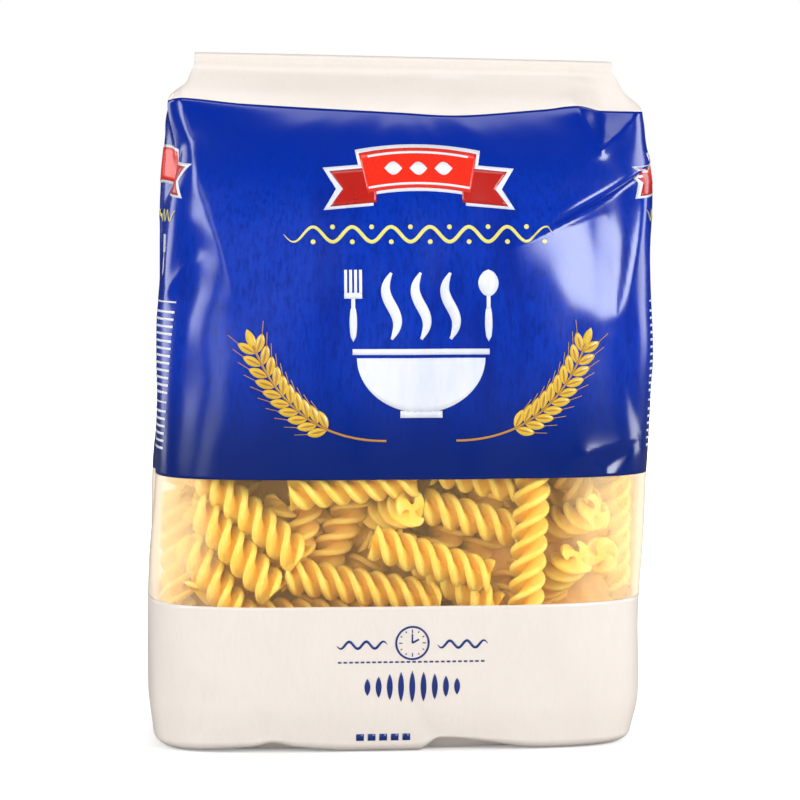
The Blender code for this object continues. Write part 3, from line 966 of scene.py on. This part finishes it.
def wheat_pair(middle, reaches, heights, kernels, size):
    """Two ears that mirror each other."""
    low, high = heights
    gold, brown = [], []
    for side in (-1, 1):
        root, bend, tip = (middle + side * reach for reach in reaches)
        grains, stalks = wheat_ear((root, low), (bend, low), (tip, high), kernels, size)
        gold += grains
        brown += stalks
    return {"gold": gold, "brown": brown}


def lower_print(middle):
    """The navy print of the white part: a dial between waves, dashes, strokes and squares."""
    navy = dial((middle, DIAL_HEIGHT), 4.2)
    for side in (-1, 1):
        navy.append(scroll((middle + side * 13.0, LOWER_WAVE_HEIGHT), 13.0, 0.9, 4.4, 0.28, 61))
    navy += dashes((middle, DASHES_HEIGHT), 38.5, 26, 0.22)
    for k in range(-4, 5):
        x, half = middle + 2.9 * k, STROKE_LENGTHS[abs(k)] / 2
        navy.append(leaf((x, STROKES_HEIGHT - half), (x, STROKES_HEIGHT + half), 0.75))
    for k in range(5):
        x = SQUARES_LEFT + 3.0 * k
        navy.append(level_line(x, x + 2.0, SQUARES_HEIGHT, 0.9, 3))
    return navy


def front_print():
    """What is printed on the front, as {ink: shapes}."""
    return {
        **ribbon_inks((PRINT_MIDDLE, RIBBON_HEIGHT), RIBBON_SIZE, 0.85),
        "keyline": ribbon_lines(PRINT_MIDDLE, RIBBON_HEIGHT),
        "yellow": dotted_wave(PRINT_MIDDLE, WAVE_HEIGHT),
        "motif": steaming_bowl(PRINT_MIDDLE, BOWL_RIM),
        **wheat_pair(PRINT_MIDDLE, EAR_REACHES, EAR_HEIGHTS, 10, 0.92),
        "navy": lower_print(LOWER_MIDDLE),
    }


def side_print(draw):
    """What is printed on a side: the ribbon again, smaller, and rows of plain bars."""
    small = fork((-9.0, SIDE_CUTLERY_FOOT), 11.0) + spoon((9.0, SIDE_CUTLERY_FOOT), 11.0)
    return {
        **ribbon_inks((0.0, SIDE_RIBBON_HEIGHT), SIDE_RIBBON_SIZE, 0.7),
        "yellow": [scroll((0.0, SIDE_WAVE_HEIGHT), 36.0, 1.3, 6.6, 0.36, 101)],
        "motif": small + ruled_bars(draw, SIDE_LEFT, SIDE_BLOCKS, 1.9, 0.32),
    }


def back_print(draw):
    """What is printed on the back: two columns of plain bars beside the seam, and a wheat ear each."""
    rows = []
    for left in BACK_LEFTS:
        rows += ruled_bars(draw, left, BACK_BLOCKS, 2.2, 0.34)
    return {"motif": rows, **wheat_pair(0.0, BACK_EAR_REACHES, BACK_EAR_HEIGHTS, 8, 0.8)}


# Each ink's finish and how far it lies above the film
INKS = {
    "white": (white_print, 0.10),
    "deep_red": (deep_red_print, 0.14),
    "red": (red_print, 0.18),
    "keyline": (white_print, 0.22),
    "yellow": (yellow_print, 0.10),
    "motif": (white_print, 0.10),
    "gold": (gold_print, 0.12),
    "brown": (brown_print, 0.16),
    "navy": (navy_print, 0.10),
}
INK_THICKNESS = 0.05


def print_on_film(place, panel, shapes):
    """One piece for each ink: all its shapes laid on that panel of the film."""
    for ink, grids in shapes.items():
        finish, out = INKS[ink]
        points, faces, first = [], [], 0
        for grid in grids:
            if panel >= BACK:
                grid = grid[:, ::-1]
            rows, columns = grid.shape[:2]
            points.append(lay_on_film(panel, grid[..., 0], grid[..., 1], out).reshape(-1, 3))
            faces.append(grid_faces(rows, columns, first=first))
            first += rows * columns
        make_piece(
            f"print_{place}_{ink}", np.concatenate(points), np.concatenate(faces).tolist(),
            finish, "bag", thickness=INK_THICKNESS,
        )


def build_print():
    draw = np.random.default_rng(11)
    print_on_film("front", FRONT, front_print())
    print_on_film("right", RIGHT, side_print(draw))
    print_on_film("left", LEFT, side_print(draw))
    print_on_film("back", BACK, back_print(draw))


build_print()


# The pasta

SPIRAL_RADIUS = 4.9
SPIRAL_PITCH = 14.2
SPIRAL_LENGTH = 41.0
ARM_THICKNESS = 1.6
ARM_SWEEP = math.radians(46)
ARM_ROOT = 1.2
RINGS_PER_TURN = 16
PITCH_SPREAD = (0.95, 1.06)
SIZE_SPREAD = (0.97, 1.02)
BOW_SPREAD = (-0.8, 0.2)  # in millimetres
BEHIND = 0.6  # least gap between the film and a spiral
TOUCHING = 7.2  # least distance between the axes of two spirals
NESTED = 5.8  # the same for those farther in, whose arms mesh
OUTER_DEPTH = 8.5  # from here on a spiral counts as farther in
PITCHED_SPARE = 4.0  # how far a spiral's end may rise towards the film before it is laid deeper
AXIS_MARGIN = 2  # how far the axis that is held clear of others ends before the spiral does
SETTLE_STEP = 0.5
DEEPEST = (28.0, 14.0)  # deepest place of an axis behind the front or back, and behind the ends
HALF_WIDTH = 65  # the film's, which the core's insets are set against
HALF_DEPTH = 37
CORE_INSET = 32.5  # how far the core lies behind the front and the back
CORE_SIDE_INSET = 9.5  # the same at the ends
CORE_FOOT = 0.93  # size of the core's foot against the film's section
CORE_FOOT_EDGE = (6, 1)  # how far below the clear band the foot starts to narrow, and ends
CORE_BEYOND = 8  # how far the core reaches past the clear band
CORE_BUMPS = 0.025
CORE_RIDGE = 1.3
CORE_RIDGES = 0.6  # in radians for each millimetre across
CORE_LEAN = 0.6
CORE_WINDING = 3

# The spirals that show at the front, in mm and degrees: place across the front, height,
# slope (up to the right), turn about its own axis, depth of its axis, length, and how far its
# axis turns towards the film.
FRONT_SPIRALS = (
    (-43.7, 61.6, -40.5, 0, 5.6, 36, 0),
    (31.3, 56.5, 87.0, 0, 5.6, 45, 0),
    (-12.5, 42.0, -9.7, 20, 5.6, 41, 0),
    (-15.3, 68.8, 6.5, 10, 5.6, 33, 0),
    (5.0, 49.6, -17.5, 75, 6.4, 32, 0),
    (-47.3, 52.6, -47.0, 50, 6.2, 31, 0),
    (-28.5, 60.5, 80.0, 5, 11.0, 30, 0),
    (-17.5, 57.0, 64.0, 30, 12.0, 32, 0),
    (-4.2, 61.6, 20.0, 70, 6.0, 18, 60),
    (16.0, 59.8, -16.0, 40, 8.0, 26, 0),
    (17.0, 70.6, -13.0, 100, 5.6, 22, 0),
    (22.5, 36.6, -24.0, 25, 6.4, 30, 0),
    (-53.0, 43.5, -54.0, 80, 6.4, 28, 0),
    (44.2, 57.6, 35.0, 90, 6.0, 28, 60),
    (40.5, 42.5, 62.0, 30, 6.0, 28, 52),
    (-26.0, 34.0, -1.5, 65, 5.8, 42, 0),
    (50.0, 67.5, -58.0, 15, 6.4, 26, 0),
    (51.5, 47.0, 80.0, 35, 7.0, 30, 0),
    (8.0, 42.0, 40.0, 50, 13.0, 38, 0),
    (24.0, 50.0, -62.0, 10, 12.0, 38, 0),
    (3.0, 66.0, -32.0, 20, 12.5, 38, 0),
    (-36.0, 47.0, 52.0, 60, 12.5, 38, 0),
    (47.0, 39.0, 78.0, 30, 9.0, 17, 0),
    (46.0, 38.0, -40.0, 10, 12.0, 20, 0),
    (44.5, 42.0, 35.0, 50, 14.0, 24, 0),
)
# The others, which settle behind them: panel, how many, reach across the panel, depth to start at
PASTA_FILL = (
    (LEFT, 24, 0.70, 6.5),
    (RIGHT, 24, 0.70, 6.5),
    (FRONT, 80, 0.86, 7.5),
    (BACK, 80, 0.88, 5.6),
)
FILL_STEP = 0.618  # share of the way across from one to the next, which spreads them evenly
FILL_RISE = 14
FILL_SLOPE = 80  # in degrees, as the tilt towards the film is
FILL_TILT = 14
FILL_LENGTHS = (0.75, 1.05)


def arm_section():
    """The three-armed section as points rho * e^(i angle), anticlockwise.

    An arm's middle line has angle sweep (rho / tip - 1), so that the arm leans back from its tip.
    Its half width, as an angle, is thickness / 2 * sqrt(1 / rho^2 + (2 pi / pitch)^2 +
    (sweep / tip)^2), which makes the twisted arm equally thick all over. Half an ellipse ends it.
    """
    tip = SPIRAL_RADIUS - ARM_THICKNESS / 2

    def half_angle(rho):
        return ARM_THICKNESS / 2 * np.sqrt(
            1 / rho**2 + (2 * math.pi / SPIRAL_PITCH) ** 2 + (ARM_SWEEP / tip) ** 2
        )

    rho = np.linspace(ARM_ROOT, tip, 6)
    middle = ARM_SWEEP * (rho / tip - 1)
    turn = np.linspace(-math.pi / 2, math.pi / 2, 9)[1:-1]
    rim = tip + ARM_THICKNESS / 2 * np.cos(turn)
    end = rim * np.exp(1j * half_angle(tip) * np.sin(turn))
    low = rho * np.exp(1j * (middle - half_angle(rho)))
    high = rho * np.exp(1j * (middle + half_angle(rho)))
    arm = np.concatenate((low, end, high[::-1]))
    return np.concatenate([arm * np.exp(2j * math.pi * k / 3) for k in range(3)])


ARM_SECTION = arm_section()


def spiral_points(place, axis, outward, turn, length, pitch, size, bow):
    """Rings of the section, each turned by 2 pi s / pitch at the way s along the axis.

    The axis bows by bow (1 - (2s / length)^2) to one side, as dried pasta does.
    """
    across = np.cross(outward, axis)
    rings = max(8, round(length / pitch * RINGS_PER_TURN))
    s = np.linspace(-length / 2, length / 2, rings)[:, None]
    section = ARM_SECTION[None, :] * size * np.exp(1j * (turn + 2 * math.pi * s / pitch))
    sag = bow * (1 - (2 * s / length) ** 2)
    flat = section.real[..., None] * across + (section.imag + sag)[..., None] * outward
    return place + flat + s[..., None] * axis


def behind_film(points):
    """Distance behind the plain film: (1 - g) / |grad g|, with g = (|x/a|^n + |y/b|^n)^(1/n)."""
    width, depth, square, _, drift = eased(STATIONS, points[..., 2])
    u = np.abs(points[..., 0] - CENTRE_SHIFT[0] - drift) / width
    v = np.abs(points[..., 1] - CENTRE_SHIFT[1]) / depth
    g = np.maximum(u**square + v**square, 1e-9) ** (1 / square)
    slope = np.hypot(u ** (square - 1) / width, v ** (square - 1) / depth) * g ** (1 - square)
    return (1 - g) / np.maximum(slope, 1e-3)


def film_frame(panel, share, height):
    """A place on the plain film with the level direction along it and the outward one."""
    here, before, after = (
        film_point(panel, share + step, height, plain=True) for step in (0.0, -0.02, 0.02)
    )
    level = (after - before) / np.linalg.norm(after - before)
    return here, level, np.array((level[1], -level[0], 0.0))


class Heap:
    """Spirals that lie behind the film without crossing each other or the film."""

    def __init__(self, seed):
        self.draw = np.random.default_rng(seed)
        self.axes = []

    def is_free(self, axis, touching):
        """Whether an axis is far enough from the film and from the axes laid before it."""
        if behind_film(axis).min() < SPIRAL_RADIUS + BEHIND:
            return False
        if not self.axes:
            return True
        gaps = np.linalg.norm(np.array(self.axes)[:, :, None] - axis, axis=-1)
        return gaps.min() > touching

    def settle(self, panel, share, height, slope, turn, depth, length, pitched, touching):
        """Lays a spiral at its depth, or as little deeper as keeps it free; None past the core."""
        here, level, outward = film_frame(panel, share, height)
        along = level * math.cos(slope) + np.array((0.0, 0.0, math.sin(slope)))
        axis = along * math.cos(pitched) + outward * math.sin(pitched)
        side = outward * math.cos(pitched) - along * math.sin(pitched)
        depth = depth + max(0.0, length / 2 * math.sin(abs(pitched)) - PITCHED_SPARE)
        ends = np.linspace(-length / 2 + AXIS_MARGIN, length / 2 - AXIS_MARGIN, 11)[:, None]
        for deeper in np.arange(0.0, DEEPEST[panel % 2] - depth, SETTLE_STEP):
            place = here - outward * (depth + deeper)
            if self.is_free(place + ends * axis, touching):
                self.axes.append(place + ends * axis)
                return spiral_points(
                    place, axis, side, turn, length, SPIRAL_PITCH * self.draw.uniform(*PITCH_SPREAD),
                    self.draw.uniform(*SIZE_SPREAD), self.draw.uniform(*BOW_SPREAD),
                )
        return None

    def lay_front(self):
        """The spirals that show at the front, at their own places and depths."""
        laid = []
        for across, height, slope, turn, depth, length, pitched in FRONT_SPIRALS:
            width, _, square, _, drift = eased(STATIONS, height)
            share = (across - drift) / (width * 0.5 ** (1 / square))
            laid.append(self.settle(
                FRONT, share, height, math.radians(slope), math.radians(turn), depth, length,
                math.radians(pitched), TOUCHING if depth < OUTER_DEPTH else NESTED,
            ))
        return [rings for rings in laid if rings is not None]

    def fill(self, panel, count, reach, depth):
        """Spirals at even steps across a panel, each at its own height and slope."""
        laid = []
        for i in range(count):
            share = reach * (2 * ((i * FILL_STEP + 0.3) % 1) - 1)
            laid.append(self.settle(
                panel, share, (BAND_LOW + BAND_HIGH) / 2 + self.draw.uniform(-FILL_RISE, FILL_RISE),
                math.radians(self.draw.uniform(-FILL_SLOPE, FILL_SLOPE)), self.draw.uniform(0, 2),
                depth, SPIRAL_LENGTH * self.draw.uniform(*FILL_LENGTHS),
                math.radians(self.draw.uniform(-FILL_TILT, FILL_TILT)), NESTED,
            ))
        return [rings for rings in laid if rings is not None]


def make_pasta(name, points, faces, finish, along_arm, sharp=None):
    """A piece of pasta that carries its depth behind the film and its places along the arms."""
    piece = make_piece(name, points, faces, finish, "pasta", sharp=sharp)
    for title, values in (("behind_film", behind_film(points)), ("along_arm", along_arm)):
        attribute = piece.data.attributes.new(title, "FLOAT", "POINT")
        attribute.data.foreach_set("value", values.astype(np.float32))


def make_heap(name, heap):
    """Joins spirals into one piece, with their ends closed."""
    around = len(ARM_SECTION)
    points, faces, first = [], [], 0
    for rings in heap:
        points.append(rings.reshape(-1, 3))
        faces += closed_ends(len(rings), around, True, True, first)
        first += len(rings) * around
    points = np.concatenate(points)
    along_arm = np.tile(np.abs(ARM_SECTION) / SPIRAL_RADIUS, len(points) // around)
    make_pasta(name, points, faces, pasta, along_arm, sharp=50)


def build_core():
    """The heap's core: a closed drum on a wide foot, the film's section drawn in.

    Its bumps are a product of two sines of the turn and the height. Its ridges stand out by
    |sin(r (x + l z + w sin(h z + a x)))|, so that they lean and wind a little.
    """
    panels, shares = PANELS[::2], SHARES[::2]
    heights = np.linspace(BAND_LOW - CORE_BEYOND, BAND_HIGH + CORE_BEYOND, 40)[:, None]
    plain = film_point(panels, shares, heights + np.zeros(len(panels)), plain=True)
    turn = np.arctan2(plain[..., 1] / HALF_DEPTH, plain[..., 0] / HALF_WIDTH)
    bumps = 1 + CORE_BUMPS * np.sin(turn * 22 + heights * 0.35) * np.sin(heights * 0.7 + turn * 9)
    middle = plain.mean(axis=1, keepdims=True)[..., :2]
    narrowing, ended = (BAND_LOW - below for below in CORE_FOOT_EDGE)
    foot = 1 - smooth_step(narrowing, ended, heights)[..., None]
    kept = np.array((1 - CORE_SIDE_INSET / HALF_WIDTH, 1 - CORE_INSET / HALF_DEPTH))
    kept = kept + (CORE_FOOT - kept) * foot
    arm = plain[..., :2] - middle
    across = plain[..., 0]
    winding = CORE_WINDING * np.sin(0.12 * heights + 0.1 * across)
    ridges = np.abs(np.sin(CORE_RIDGES * (across + CORE_LEAN * heights + winding)))
    raised = CORE_RIDGE * ridges[..., None] * arm / np.linalg.norm(arm, axis=-1, keepdims=True)
    core = plain.copy()
    core[..., :2] = middle + arm * kept * bumps[..., None] + raised
    faces = closed_ends(len(core), len(panels), True, True)
    # its finish is painted darker, as shade deep in the heap
    make_pasta("pasta_core", core.reshape(-1, 3), faces, core_pasta_painted_shade, ridges.ravel())


def build_pasta():
    heap = Heap(7)
    make_heap("pasta_front", heap.lay_front())
    others = [rings for values in PASTA_FILL for rings in heap.fill(*values)]
    make_heap("pasta_others_1", others[0::2])
    make_heap("pasta_others_2", others[1::2])
    build_core()


build_pasta()


# The studio

CAMERA_DISTANCE = 880.0
CAMERA_AZIMUTH = math.radians(-5.0)
CAMERA_HEIGHT = 150.0
CAMERA_AIM = (-0.45, 0.0, 88.9)
LENS = 148.5
SENSOR = 36.0


def look_at(thing, place, aim):
    """Puts a camera or light at a place and points it at another, both in millimetres."""
    way = np.array(aim, float) - np.array(place, float)
    flat = math.hypot(way[0], way[1])
    thing.location = [value * MM for value in place]
    thing.rotation_euler = (math.atan2(flat, -way[2]), 0.0, math.atan2(-way[0], way[1]))


def build_camera():
    lens = bpy.data.cameras.new("camera")
    lens.lens = LENS
    lens.sensor_width = SENSOR
    lens.clip_start = 0.05
    lens.clip_end = 20.0
    camera = add_object("camera", lens)
    place = (
        CAMERA_DISTANCE * math.sin(CAMERA_AZIMUTH),
        -CAMERA_DISTANCE * math.cos(CAMERA_AZIMUTH),
        CAMERA_HEIGHT,
    )
    look_at(camera, place, CAMERA_AIM)
    bpy.context.scene.camera = camera


# Softboxes: name, place, aim, width, height, power in watts, and whether the film mirrors them
SOFTBOXES = (
    ("left_box", (-1100, -260, 620), (0, 0, 110), 480, 900, 8.0, True),
    ("left_front_box", (-880, -760, 400), (0, 0, 110), 300, 790, 1.1, True),
    ("right_box", (811, -680, 530), (0, 0, 110), 600, 520, 10.0, True),
    ("top_box", (0, 100, 1200), (0, 0, 100), 900, 500, 3.0, True),
    ("rear_left_box", (-760, 760, 420), (0, 0, 100), 400, 800, 2.2, True),
    ("rear_right_box", (1000, 300, 420), (0, 0, 100), 400, 800, 4.0, True),
    ("front_fill", (-420, -1200, 420), (0, 0, 90), 900, 700, 7.5, False),
    ("back_fill", (420, 1200, 420), (0, 0, 90), 900, 700, 8.0, False),
)


def build_softboxes():
    for name, place, aim, wide, tall, power, mirrored in SOFTBOXES:
        light = bpy.data.lights.new(name, "AREA")
        light.shape = "RECTANGLE"
        light.size = wide * MM
        light.size_y = tall * MM
        light.energy = power
        box = add_object(name, light)
        look_at(box, place, aim)
        box.visible_camera = False
        box.visible_glossy = mirrored


WHITE = (1.0, 1.0, 1.0)
SURROUND_LIGHT = 0.16
SURROUND_MIRRORED = 0.02
FLOOR_HALF = 3.0  # in metres, as the reach of its glow is
FLOOR_COLOUR = (0.80, 0.80, 0.80)
FLOOR_MIRRORED = (0.08, 0.08, 0.08)
GLOW_REACH = (0.03, 0.30)
GLOW = (0.25, 1.0)


def build_surround():
    """A white surround for the eye, and a dim one for the light that falls on the packet."""
    world = bpy.data.worlds.new("surround")
    world.use_nodes = True
    tree = world.node_tree
    ray = add_node(tree, "ShaderNodeLightPath").outputs
    dim = mapped(tree, ray["Is Glossy Ray"], low=SURROUND_LIGHT, high=SURROUND_MIRRORED, smooth=False)
    lit = add_node(tree, "ShaderNodeBackground", {"Color": WHITE, "Strength": dim})
    seen = tree.nodes["Background"]
    feed(tree, seen, {"Color": WHITE, "Strength": 1.0})
    mix = add_node(tree, "ShaderNodeMixShader", {
        "Fac": ray["Is Camera Ray"], 1: lit.outputs["Background"], 2: seen.outputs["Background"],
    })
    feed(tree, tree.nodes["World Output"], {"Surface": mix.outputs["Shader"]})
    bpy.context.scene.world = world


def floor_finish():
    """Pale floor that turns to the surround's white away from the packet.

    Its own glow for the eye is a smooth step of the distance from the packet.
    """
    made, tree, shader = new_material("pale floor")
    place = add_node(tree, "ShaderNodeTexCoord").outputs["Object"]
    far = add_node(tree, "ShaderNodeVectorMath", {0: place}, operation="LENGTH").outputs["Value"]
    ray = add_node(tree, "ShaderNodeLightPath").outputs
    glow = mapped(tree, far, *GLOW_REACH, *GLOW)
    feed(tree, shader, {
        "Base Color": mixed(tree, ray["Is Glossy Ray"], FLOOR_COLOUR, FLOOR_MIRRORED),
        "Roughness": 0.9,
        "Specular IOR Level": 0.0,
        "Emission Color": WHITE,
        "Emission Strength": combined(tree, "MULTIPLY", glow, ray["Is Camera Ray"]),
    })
    return made


def build_floor():
    mesh = bpy.data.meshes.new("floor")
    corners = [(x * FLOOR_HALF, y * FLOOR_HALF, 0) for x, y in ((-1, -1), (1, -1), (1, 1), (-1, 1))]
    mesh.from_pydata(corners, [], [(0, 1, 2, 3)])
    mesh.materials.append(floor_finish())
    floor = add_object("floor", mesh)


build_camera()
build_softboxes()
build_surround()
build_floor()
bpy.context.scene.view_settings.view_transform = "Standard"
